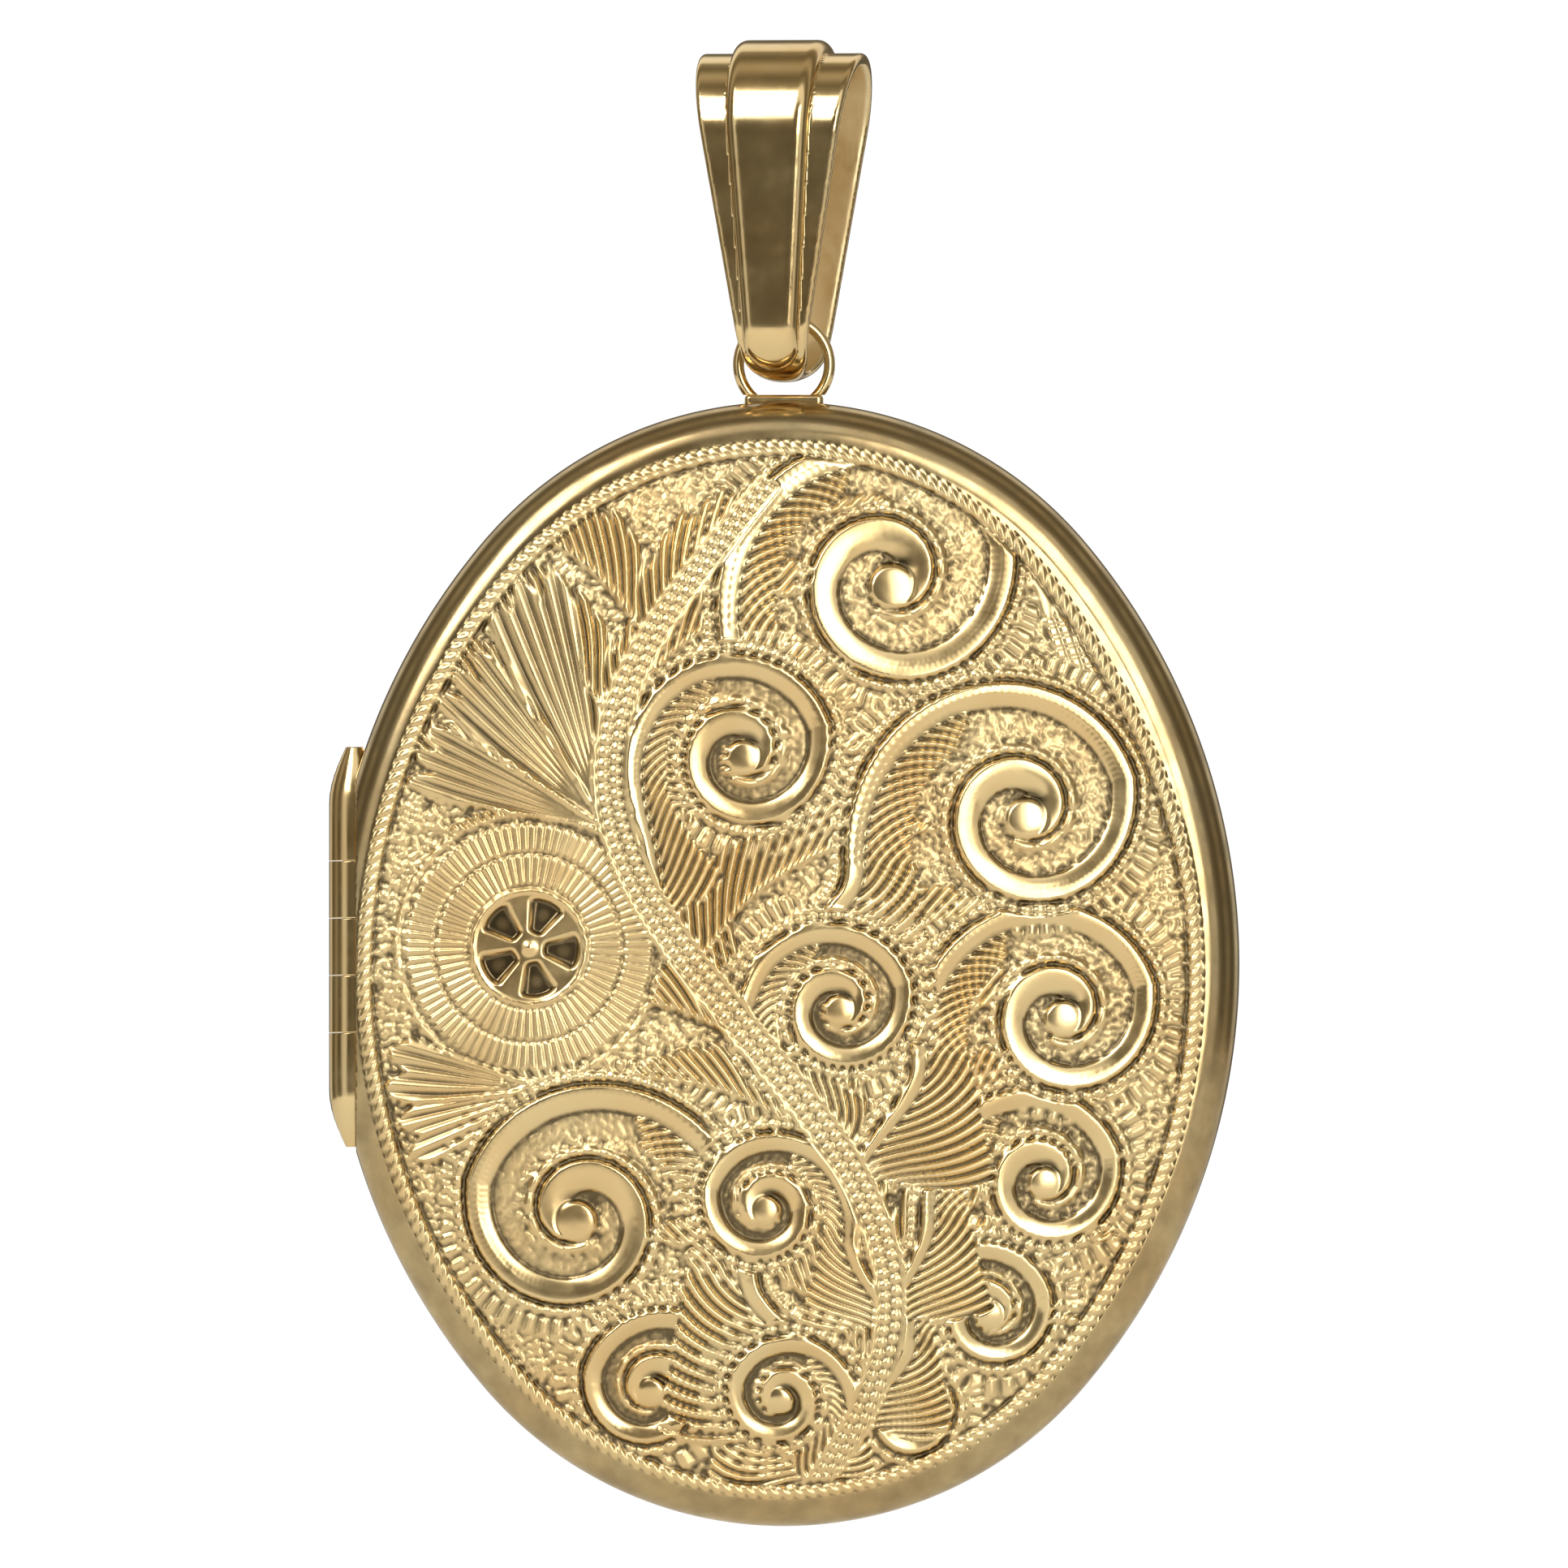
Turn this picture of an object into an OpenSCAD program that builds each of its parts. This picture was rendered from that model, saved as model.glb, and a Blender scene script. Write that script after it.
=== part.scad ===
// Oval hinged photo locket on a tapered folded bail. Lengths are in millimetres.
// Front faces -Y, +X is right as the front is seen, +Z is up. The origin is the point
// at the top of the bail's loop where the chain bears.

/* [Case] */
// Width of the closed case across the oval
case_w = 32.4; // [28:0.1:40]
// Height of the case along the oval
case_h = 40; // [34:0.1:48]
// Radius of the oval's top and bottom arcs
end_r = 14; // [11:0.1:15.5]
// Thickness of one sheet-metal half from the parting plane to the top of its dome
half_t = 3.3; // [2.9:0.1:4.5]
// Sheet thickness of both covers
sheet = 0.5; // [0.3:0.05:0.6]
// Height of the upright rim wall of each cover
rim_h = 1.1; // [1:0.05:1.4]
// Radius of the polished rounded border
edge_r = 1.4; // [1:0.05:1.6]
// Width of the band over which the dome rises inside the border
dome_run = 9; // [6:0.5:9]
// Gap between the two rims when the case is shut
parting_gap = 0.06; // [0.02:0.01:0.1]
// Depth of the fingernail scoop in the front rim
nick_depth = 0.2; // [0.1:0.05:0.3]
// Radius of the fingernail scoop
nick_r = 5; // [3:0.5:8]

/* [Closing lip] */
// How far the lip stands into the front cover
lip_stand = 0.8; // [0.5:0.05:0.85]
// Thickness of the lip
lip_t = 0.35; // [0.25:0.05:0.5]
// Gap between the lip and the wall of the front cover
lip_clear = 0.1; // [0.08:0.01:0.15]
// Half the height of the catch bead
bead_r = 0.1; // [0.08:0.01:0.12]
// Length of the catch bead
bead_len = 3; // [2:0.5:5]

/* [Picture holders] */
// Distance from the case outline to the outside of the picture frame
frame_in = 2.35; // [2.3:0.05:3]
// Width of the frame's face
frame_face = 0.8; // [0.6:0.05:1.2]
// Thickness of the frame's upright wall
frame_wall = 0.25; // [0.2:0.05:0.4]
// Thickness of the frame's face
frame_t = 0.28; // [0.2:0.02:0.3]
// Distance of the frame's face behind the parting plane
frame_back = 0.12; // [0.08:0.02:0.2]
// Thickness of the clear window
window_t = 0.3; // [0.2:0.05:0.35]
// Thickness of the blank picture card
card_t = 0.25; // [0.15:0.05:0.3]
// Gap round the window and the card inside the frame's wall
card_clear = 0.05; // [0.02:0.01:0.1]
// Thickness of the flat seat that carries the holder
seat_t = 0.2; // [0.15:0.05:0.3]

/* [Hinge] */
// Radius of the hinge barrel
barrel_r = 0.9; // [0.75:0.05:1]
// Length of the straight barrel
barrel_len = 10.2; // [8:0.2:12]
// Height of the barrel's middle above the middle of the case
barrel_rise = 0.6; // [-1:0.1:1]
// Length of each tapered end of the barrel
taper_len = 2; // [1:0.1:2.5]
// Radius of the hinge pin
pin_r = 0.4; // [0.3:0.05:0.5]
// Radial clearance of the pin in the moving knuckles
pin_clear = 0.04; // [0.02:0.01:0.08]
// Gap between neighbouring knuckles and round the barrel
hinge_gap = 0.06; // [0.04:0.01:0.1]
// Thickness of the bearers that carry the knuckles
bearer_t = 0.3; // [0.2:0.05:0.35]

/* [Ring] */
// Radius of the hole in the fixed ring
ring_hole_r = 1.42; // [1.2:0.01:1.8]
// Wire diameter of the fixed ring
ring_wire = 0.4; // [0.35:0.01:0.6]
// Height of the ring's centre above the case
ring_rise = 1.34; // [1.2:0.01:1.6]
// Width of the saddle under the ring
saddle_w = 2.8; // [2:0.1:4]
// Height of the saddle above the case
saddle_h = 0.25; // [0.2:0.05:0.4]
// Depth of the saddle, front to back
saddle_d = 1.3; // [1:0.1:1.6]

/* [Bail] */
// Height of the folded strip from its foot to its top
bail_h = 11.76; // [10:0.01:15]
// Outer radius of the fold at the top
bail_top_r = 2.75; // [2.4:0.05:3.5]
// Outer radius of the turn at the foot
bail_foot_r = 2.3; // [1.8:0.05:2.4]
// Sheet thickness of the strip
bail_t = 0.45; // [0.3:0.05:0.6]
// Width of the strip at the top
bail_w = 5.9; // [4.5:0.1:7]
// Radius of the strip's rounded foot, seen from the front
bail_end_r = 1.2; // [1:0.01:1.5]
// Height of the raised rib above the strip
rib_t = 0.48; // [0.3:0.02:0.6]
// Width of the rib at the top
rib_w = 3.3; // [2.5:0.1:4]
// Radius of the rib's rounded foot
rib_end_r = 1; // [0.7:0.05:1.1]
// Distance of the rib's foot above the strip's foot
rib_lift = 0.45; // [0.3:0.05:0.8]
// Gap between the strip's foot and the saddle
bail_clear = 0.4; // [0.3:0.05:0.6]
// Turn of the hanging bail about its own upright axis
bail_turn = 12; // [0:0.5:15]
// Sideways lean of the hanging bail
bail_lean = 0; // [0:0.1:3]

/* [Hidden] */
$fn = 96;

polished = [0.86, 0.73, 0.45];
engraved = [0.8, 0.66, 0.38];
satin = [0.78, 0.64, 0.36];
clear = [0.85, 0.9, 0.92, 0.4];
cream = [0.93, 0.9, 0.82];

// Oval of four arcs: half width, half height, and the centres of its arcs
half_w = case_w / 2;
half_h = case_h / 2;
end_c = half_h - end_r;
side_r = (half_w * half_w + end_c * end_c - end_r * end_r) / (2 * (half_w - end_r));
side_c = side_r - half_w;
join_turn = atan2(end_c, side_c);
side_steps = 10;
end_steps = 8;

// Height the dome rises above the rounded border, and its steps
dome_rise = half_t - rim_h - edge_r;
dome_steps = 5;

// Picture holder, as depths behind the parting plane
window_at = frame_back + frame_t;
card_at = window_at + window_t;
seat_at = card_at + card_t;
card_in = frame_in + frame_wall + card_clear;
seat_in = frame_in + frame_face;

// Distance of the lip's outer face inside the case outline
lip_in = sheet + lip_clear;

// Hinge: knuckles alternate between the two halves, and the back half holds both ends
knuckles = 5;
axis_x = barrel_r - half_w;
nest_r = barrel_r + hinge_gap;
knuckle_pitch = barrel_len / knuckles;
// Each half's covers and bearers start this far beyond the axis, which lets the case open
chord = 0.08;
// Radius left at the tip of each tapered end
taper_end_r = 0.3;
taper_steps = 6;
// Share of the lip's gap that the catch bead fills
bead_share = 0.5;

// Height of the middle of the case, below the chain's bearing point
case_z = bail_t - bail_h - bail_clear - saddle_h - half_h;
// Larger than the whole locket, for cuts that run right through
wide = 4 * case_w;

function arc(c, r, from, to, n) = [
    for (i = [0:n - 1]) let (t = from + (to - from) * i / n) c + r * [cos(t), sin(t)]
];

// Outline of the oval at a distance d inside the case outline
function oval(d) = concat(
    arc([-side_c, 0], side_r - d, -join_turn, join_turn, 2 * side_steps),
    arc([0, end_c], end_r - d, join_turn, 180 - join_turn, 2 * end_steps),
    arc([side_c, 0], side_r - d, 180 - join_turn, 180 + join_turn, 2 * side_steps),
    arc([0, -end_c], end_r - d, 180 + join_turn, 360 - join_turn, 2 * end_steps)
);

// Closed solid lofted through ovals, each given as [distance inside the outline, height]
module oval_loft(sections) {
    n = 4 * (side_steps + end_steps);
    last = len(sections) - 1;
    points = [for (s = sections) for (p = oval(s[0])) [p[0], p[1], s[1]]];
    sides = [
        for (k = [0:last - 1]) for (i = [0:n - 1])
            let (j = (i + 1) % n) [k * n + i, (k + 1) * n + i, (k + 1) * n + j, k * n + j]
    ];
    first_cap = [for (i = [0:n - 1]) i];
    last_cap = [for (i = [n - 1:-1:0]) last * n + i];
    polyhedron(points, concat(sides, [first_cap, last_cap]));
}

module oval_plate(d, low, high) {
    translate([0, 0, low]) linear_extrude(high - low) polygon(oval(d));
}

module oval_ring(d_out, d_in, low, high) {
    translate([0, 0, low]) linear_extrude(high - low) difference() {
        polygon(oval(d_out));
        polygon(oval(d_in));
    }
}

// Local x, y is the oval's plane and local z points out of the front or the back
module in_front() {
    translate([0, 0, case_z]) rotate([90, 0, 0]) children();
}
module in_back() {
    translate([0, 0, case_z]) mirror([0, 1, 0]) rotate([90, 0, 0]) children();
}

// The same frame turned so that local z runs up the hinge axis and local y points out
module along_hinge() {
    translate([axis_x, barrel_rise, 0]) rotate([-90, 0, 0]) mirror([0, 1, 0]) children();
}

// Profile of a cover at a depth t in from its outer surface: rounded border, then dome
function cover_profile(t) = concat(
    [for (a = [0:15:90]) [edge_r - (edge_r - t) * cos(a), rim_h + (edge_r - t) * sin(a)]],
    [
        for (i = [1:dome_steps]) let (u = i / dome_steps)
            [edge_r + dome_run * u, rim_h + edge_r - t + dome_rise * (1 - (1 - u) * (1 - u))]
    ]
);

// Room for the barrel and its tapered ends, and the flat beyond the hinge axis
module hinge_room() {
    along_hinge() {
        rotate_extrude() polygon(barrel_half(hinge_gap, hinge_gap));
        mirror([0, 0, 1]) rotate_extrude() polygon(barrel_half(hinge_gap, hinge_gap));
        cut_len = barrel_len + 4 * taper_len;
        translate([chord - 2 * barrel_r, -half_t, -cut_len / 2])
            cube([2 * barrel_r, 3 * half_t, cut_len]);
    }
}

// Half of the barrel's outline from its middle to the tip of one tapered end
function barrel_half(out, on) = [
    [0, 0],
    [barrel_r + out, 0],
    [barrel_r + out, barrel_len / 2 + on],
    for (i = [1:taper_steps]) let (u = i / taper_steps)
        [taper_end_r + out + (barrel_r - taper_end_r) * cos(90 * u), barrel_len / 2 + on + taper_len * u],
    [0, barrel_len / 2 + on + taper_len]
];

// Space inside a cover, out to its inner surface and past the parting plane
module cover_room() {
    oval_loft(concat([[sheet, -rim_h]], cover_profile(sheet)));
}

module cover_shell() {
    difference() {
        oval_loft(concat([[0, parting_gap / 2]], cover_profile(0)));
        cover_room();
        hinge_room();
    }
}

module front_cover() {
    color(engraved) in_front() difference() {
        cover_shell();
        translate([half_w - nick_depth + nick_r, 0, 0]) cylinder(r = nick_r, h = sheet);
    }
}

module back_cover() {
    color(polished) in_back() cover_shell();
}

module seat() {
    difference() {
        intersection() {
            oval_ring(sheet, seat_in, seat_at, seat_at + seat_t);
            cover_room();
        }
        translate([axis_x - half_w, barrel_rise - barrel_len / 2, 0])
            cube([half_w + chord + bearer_t, barrel_len, half_t]);
    }
}
module front_seat() {
    color(satin) in_front() seat();
}
module back_seat() {
    color(satin) in_back() seat();
}

module photo_frame() {
    oval_ring(frame_in, seat_in, frame_back, window_at);
    oval_ring(frame_in, frame_in + frame_wall, window_at, seat_at);
}
module front_photo_frame() {
    color(polished) in_front() photo_frame();
}
module back_photo_frame() {
    color(polished) in_back() photo_frame();
}

module front_window() {
    color(clear) in_front() oval_plate(card_in, window_at, card_at);
}
module back_window() {
    color(clear) in_back() oval_plate(card_in, window_at, card_at);
}

module front_card() {
    color(cream) in_front() oval_plate(card_in, card_at, seat_at);
}
module back_card() {
    color(cream) in_back() oval_plate(card_in, card_at, seat_at);
}

// Strip soldered inside the back wall, standing into the front cover, open at the hinge
module closing_lip() {
    open_to = axis_x + nest_r + bearer_t + sheet;
    color(satin) in_back() difference() {
        union() {
            oval_ring(sheet, lip_in + lip_t, parting_gap / 2, seat_at);
            oval_ring(lip_in, lip_in + lip_t, -lip_stand, parting_gap / 2);
        }
        translate([open_to - wide, -half_h, -half_t]) cube([wide, case_h, 2 * half_t]);
    }
}

// Low round bead that follows the lip's side arc, opposite the hinge
module catch_bead() {
    bead_stand = lip_clear * bead_share;
    color(satin) in_back() difference() {
        intersection() {
            oval_loft([
                for (a = [-90:30:90]) [lip_in - bead_stand * cos(a), bead_r * sin(a) - lip_stand / 2]
            ]);
            translate([0, -bead_len / 2, -lip_stand]) cube([half_w, bead_len, lip_stand]);
        }
        oval_plate(lip_in, -2 * lip_stand, lip_stand);
    }
}

// Trough and upright wall that close the case behind the barrel
module hinge_bearer() {
    low = parting_gap / 2;
    intersection() {
        along_hinge() linear_extrude(barrel_len, center = true) difference() {
            union() {
                intersection() {
                    circle(nest_r + bearer_t);
                    translate([chord, low]) square([wide, seat_at - low]);
                }
                translate([chord, low]) square([bearer_t, half_t]);
            }
            circle(nest_r);
        }
        cover_room();
    }
}

module front_hinge_bearer() {
    color(satin) in_front() hinge_bearer();
}
module back_hinge_bearer() {
    color(satin) in_back() hinge_bearer();
}

// One knuckle, counted from the bottom, with the foot that joins it to its bearer
module knuckle(i, bore_r, low_end = false, high_end = false) {
    low = -barrel_len / 2 + i * knuckle_pitch + (low_end ? 0 : hinge_gap / 2);
    high = -barrel_len / 2 + (i + 1) * knuckle_pitch - (high_end ? 0 : hinge_gap / 2);
    along_hinge() {
        translate([0, 0, low]) linear_extrude(high - low) difference() {
            union() {
                circle(barrel_r);
                intersection() {
                    circle(nest_r);
                    translate([chord, chord]) square(wide);
                }
            }
            circle(bore_r);
        }
        if (low_end) mirror([0, 0, 1]) barrel_end();
        if (high_end) barrel_end();
    }
}

module barrel_end() {
    half = barrel_half(0, 0);
    rotate_extrude() polygon(concat([[0, barrel_len / 2]], [for (p = half) if (p[1] >= barrel_len / 2) p]));
}

module front_knuckle_upper() {
    color(polished) in_front() knuckle(3, pin_r + pin_clear);
}
module front_knuckle_lower() {
    color(polished) in_front() knuckle(1, pin_r + pin_clear);
}
module back_knuckle_top() {
    color(polished) in_back() knuckle(4, pin_r, high_end = true);
}
module back_knuckle_middle() {
    color(polished) in_back() knuckle(2, pin_r);
}
module back_knuckle_bottom() {
    color(polished) in_back() knuckle(0, pin_r, low_end = true);
}

module hinge_pin() {
    color(satin) in_back() along_hinge() cylinder(r = pin_r, h = barrel_len, center = true);
}

// Saddle soldered to the back half's rim, clear of the front half below it
module ring_saddle() {
    color(polished) in_back() difference() {
        translate([-saddle_w / 2, end_c, -saddle_d / 2]) cube([saddle_w, end_r + saddle_h, saddle_d]);
        oval_plate(0, -saddle_d, saddle_d);
        oval_plate(-parting_gap, -saddle_d, parting_gap / 2);
    }
}

module bail_ring() {
    color(polished) translate([0, 0, case_z]) difference() {
        translate([0, 0, half_h + ring_rise]) rotate([90, 0, 0]) rotate_extrude()
            translate([ring_hole_r + ring_wire / 2, 0]) circle(ring_wire / 2);
        translate([-wide / 2, -wide / 2, half_h + saddle_h - wide]) cube([wide, wide, wide]);
    }
}

// Side view of the folded strip at a distance out from its outer face: y across, z up
module loop_side(out) {
    top = [0, bail_h - bail_top_r];
    foot = [0, bail_foot_r];
    rise = top[1] - foot[1];
    tilt = asin((bail_top_r - bail_foot_r) / rise);
    dir = [cos(tilt), -sin(tilt)];
    translate(top) circle(bail_top_r + out);
    translate(foot) circle(bail_foot_r + out);
    polygon([
        top + (bail_top_r + out) * dir,
        foot + (bail_foot_r + out) * dir,
        foot + (bail_foot_r + out) * [-dir[0], dir[1]],
        top + (bail_top_r + out) * [-dir[0], dir[1]]
    ]);
}

// Front view of a tapered tongue with a round foot of radius r whose lowest point is at z = low
module tongue(w, r, low) {
    foot = [0, low + r];
    high = bail_h + 2 * rib_t;
    taper = atan2(w / 2 - r, bail_h - low - r);
    edge = foot + r * [cos(taper), -sin(taper)];
    translate(foot) circle(r);
    polygon([
        [-edge[0] - (high - edge[1]) * tan(taper), high],
        [edge[0] + (high - edge[1]) * tan(taper), high],
        edge,
        [-edge[0], edge[1]]
    ]);
}

module folded_band(out, t, w, r, low) {
    intersection() {
        rotate([90, 0, 90]) linear_extrude(2 * bail_w, center = true) difference() {
            loop_side(out);
            loop_side(out - t);
        }
        rotate([90, 0, 0]) linear_extrude(8 * bail_top_r, center = true) tongue(w, r, low);
    }
}

module bail() {
    color(polished) rotate([0, -bail_lean, -bail_turn])
        translate([0, 0, bail_t - bail_h]) {
            folded_band(0, bail_t, bail_w, bail_end_r, 0);
            folded_band(rib_t, rib_t + bail_t / 2, rib_w, rib_end_r, rib_lift);
        }
}

front_cover();
front_seat();
front_photo_frame();
front_window();
front_card();
front_hinge_bearer();
front_knuckle_upper();
front_knuckle_lower();
back_cover();
back_seat();
closing_lip();
catch_bead();
back_photo_frame();
back_window();
back_card();
back_hinge_bearer();
back_knuckle_top();
back_knuckle_middle();
back_knuckle_bottom();
hinge_pin();
ring_saddle();
bail_ring();
bail();
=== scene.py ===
import math

import bmesh
import bpy
import numpy as np
from mathutils import Matrix, Vector


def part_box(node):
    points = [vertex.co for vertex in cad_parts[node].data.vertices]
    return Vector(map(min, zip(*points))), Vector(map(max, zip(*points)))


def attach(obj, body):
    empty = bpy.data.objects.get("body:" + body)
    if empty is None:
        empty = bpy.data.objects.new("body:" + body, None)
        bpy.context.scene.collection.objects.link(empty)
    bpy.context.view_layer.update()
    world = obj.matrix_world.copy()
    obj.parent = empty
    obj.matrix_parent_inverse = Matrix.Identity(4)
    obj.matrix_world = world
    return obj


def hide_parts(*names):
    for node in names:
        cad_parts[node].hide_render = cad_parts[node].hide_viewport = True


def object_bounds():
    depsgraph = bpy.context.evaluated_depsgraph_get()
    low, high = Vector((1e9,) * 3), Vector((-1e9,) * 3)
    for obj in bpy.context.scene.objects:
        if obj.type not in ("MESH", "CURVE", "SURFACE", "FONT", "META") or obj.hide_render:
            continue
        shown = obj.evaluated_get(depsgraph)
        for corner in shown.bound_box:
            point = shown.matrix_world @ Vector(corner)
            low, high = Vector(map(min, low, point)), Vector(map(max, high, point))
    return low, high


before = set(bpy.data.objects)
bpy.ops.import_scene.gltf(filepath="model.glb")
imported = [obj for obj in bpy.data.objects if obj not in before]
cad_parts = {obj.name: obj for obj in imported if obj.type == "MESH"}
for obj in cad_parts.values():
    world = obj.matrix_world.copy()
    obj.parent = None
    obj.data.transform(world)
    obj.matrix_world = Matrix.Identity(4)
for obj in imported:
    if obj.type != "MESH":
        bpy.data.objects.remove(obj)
CAD_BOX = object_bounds()

MM = 0.001

# ------------------------------------------------------------------ sizes, in millimetres
case_lo, case_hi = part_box("back_cover")
HALF_W = case_hi.x / MM
HALF_H = (case_hi.z - case_lo.z) / 2 / MM
HALF_T = case_hi.y / MM
CASE_Z = (case_hi.z + case_lo.z) / 2 / MM
END_R = 14.0
END_C = HALF_H - END_R
SIDE_R = (HALF_W**2 + END_C**2 - END_R**2) / (2 * (HALF_W - END_R))
SIDE_C = SIDE_R - HALF_W
JOIN = math.atan2(END_C, SIDE_C)
SHEET, RIM_H, EDGE_R, DOME_RUN, PARTING = 0.5, 1.1, 1.4, 9.0, 0.06
DOME_RISE = HALF_T - RIM_H - EDGE_R
BARREL_R, BARREL_LEN, BARREL_RISE, HINGE_GAP, CHORD = 0.9, 10.2, 0.6, 0.06, 0.08
TAPER_LEN, TAPER_END_R = 2.0, 0.3
AXIS_X = BARREL_R - HALF_W
PANEL_IN = 0.75
NICK_DEPTH, NICK_R = 0.2, 5.0


def oval_inside(x, z):
    """Distance of a point inside the case outline, and the outward direction there."""
    ax, az = np.abs(x), np.abs(z)
    side = np.arctan2(az, ax + SIDE_C) < JOIN
    cx, cz = np.where(side, -SIDE_C, 0.0), np.where(side, 0.0, END_C)
    reach = np.hypot(ax - cx, az - cz)
    d = np.where(side, SIDE_R, END_R) - reach
    reach = np.maximum(reach, 1e-9)
    return d, np.sign(x) * (ax - cx) / reach, np.sign(z) * (az - cz) / reach


def oval_radius(phi, d):
    """Distance from the middle to the outline at distance d inside, in the direction phi."""
    turn = np.linspace(0, 2 * math.pi, 4001)
    c, s = np.abs(np.cos(turn)), np.abs(np.sin(turn))
    lo, hi = np.zeros_like(turn), np.full_like(turn, HALF_H + 1)
    for _ in range(40):
        mid = (lo + hi) / 2
        inside = oval_inside(mid * c, mid * s)[0] > d
        lo, hi = np.where(inside, mid, lo), np.where(inside, hi, mid)
    return np.interp(np.mod(phi, 2 * math.pi), turn, (lo + hi) / 2)


def cover_height(d, t=0.0):
    """Height of a cover above the parting plane at distance d inside its outline."""
    r = EDGE_R - t
    rise = np.sqrt(np.clip(r * r - (EDGE_R - np.clip(d, t, EDGE_R)) ** 2, 0, None))
    u = np.clip((d - EDGE_R) / DOME_RUN, 0, 1)
    return RIM_H + rise + DOME_RISE * (1 - (1 - u) ** 2)


# ------------------------------------------------------------------ engraving, as a height map
STEP = 0.045
gx = np.arange(-HALF_W - 0.2, HALF_W + 0.2, STEP)
gz = np.arange(-HALF_H - 0.2, HALF_H + 0.2, STEP)
GX, GZ = np.meshgrid(gx, gz, indexing="ij")
rng = np.random.default_rng(11)


def blur(a, radius, times=2):
    """Box blur of a map, radius in millimetres."""
    n = max(1, int(round(radius / STEP)))
    for _ in range(times):
        for axis in (0, 1):
            pad = [(n, n) if k == axis else (0, 0) for k in (0, 1)]
            c = np.cumsum(np.pad(a, pad, mode="edge"), axis=axis)
            c = np.concatenate([np.zeros_like(np.take(c, [0], axis)), c], axis=axis)
            hi, lo = np.arange(2 * n + 1, c.shape[axis]), np.arange(0, c.shape[axis] - 2 * n - 1)
            a = (np.take(c, hi, axis) - np.take(c, lo, axis)) / (2 * n + 1)
    return a


def noise(scale):
    """Smooth noise from -1 to 1 with features of about that size in millimetres."""
    a = blur(rng.standard_normal(GX.shape), scale / 2)
    return a / (3 * a.std())


def smooth(a, b, x):
    t = np.clip((x - a) / (b - a), 0, 1)
    return t * t * (3 - 2 * t)


EDGE_D, _, _ = oval_inside(GX, GZ)
PHI = np.arctan2(GZ, GX)
# The polished border is widest at the upper right and narrowest at the foot
PANEL_D = 1.2 + 0.26 * np.cos(PHI - 1.05) + 0.3 * np.exp(-(((PHI - 0.75) / 0.4) ** 2))
stipple = blur(rng.standard_normal(GX.shape), STEP, 1)
stipple = np.clip(stipple / (1.6 * stipple.std()), -1, 1)
ground = -0.09 + 0.06 * stipple
H = ground.copy()
GLOSS = np.full(GX.shape, 0.15)


class Window:
    """The part of the maps round some points, with each cell's place along a curve."""

    def __init__(self, pts, margin):
        lo, hi = pts.min(0) - margin, pts.max(0) + margin
        i0, i1 = np.searchsorted(gx, lo[0]), np.searchsorted(gx, hi[0])
        j0, j1 = np.searchsorted(gz, lo[1]), np.searchsorted(gz, hi[1])
        self.cut = (slice(i0, i1), slice(j0, j1))
        self.x, self.z = GX[self.cut], GZ[self.cut]

    def along(self, pts):
        """Arc length of the nearest point of a curve, and distance to its left."""
        seg = pts[1:] - pts[:-1]
        length = np.concatenate([[0], np.cumsum(np.hypot(seg[:, 0], seg[:, 1]))])
        tangent = np.gradient(pts, axis=0)
        tangent /= np.hypot(tangent[:, 0], tangent[:, 1])[:, None]
        u, s = np.empty_like(self.x), np.empty_like(self.x)
        for k in range(0, self.x.shape[0], 48):
            dx = self.x[k : k + 48, :, None] - pts[:, 0]
            dz = self.z[k : k + 48, :, None] - pts[:, 1]
            i = np.argmin(dx * dx + dz * dz, axis=2)
            pick = np.ogrid[: i.shape[0], : i.shape[1]]
            ex, ez = dx[pick[0], pick[1], i], dz[pick[0], pick[1], i]
            tx, tz = tangent[i, 0], tangent[i, 1]
            u[k : k + 48] = length[i] + ex * tx + ez * tz
            s[k : k + 48] = np.hypot(ex, ez) * np.sign(tx * ez - tz * ex)
        return u, s, length[-1]

    def paint(self, mask, height, gloss=None):
        H[self.cut] = H[self.cut] * (1 - mask) + height * mask
        if gloss is not None:
            GLOSS[self.cut] = GLOSS[self.cut] * (1 - mask) + gloss * mask

    def add(self, mask, height):
        H[self.cut] += mask * height


def band_mask(s, a, b, soft=0.04):
    """1 where s lies from a to b, with soft sides."""
    return smooth(a - soft, a + soft, s) * (1 - smooth(b - soft, b + soft, s))


def bead_row(u, s, at, r, pitch, slant=0.0):
    """Height of a row of round beads along a curve, and where it lies."""
    off = (np.mod(u + slant * (s - at), pitch) - pitch / 2) / (pitch * 0.5)
    q = 1 - off**2 - ((s - at) / r) ** 2
    return 0.12 * np.sqrt(np.clip(q, 0, None)) - 0.09, band_mask(s, at - r, at + r, 0.03)


def flutes(phase, depth=0.23, sharp=1.2):
    """Rounded ridges with narrow valleys, one for each whole phase."""
    return depth * (np.abs(np.sin(math.pi * phase)) ** sharp - 0.65)


def bezier(p0, p1, p2, p3, n=60):
    t = np.linspace(0, 1, n)[:, None]
    p0, p1, p2, p3 = (np.array(p, float) for p in (p0, p1, p2, p3))
    return (1 - t) ** 3 * p0 + 3 * (1 - t) ** 2 * t * p1 + 3 * (1 - t) * t * t * p2 + t**3 * p3


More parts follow.
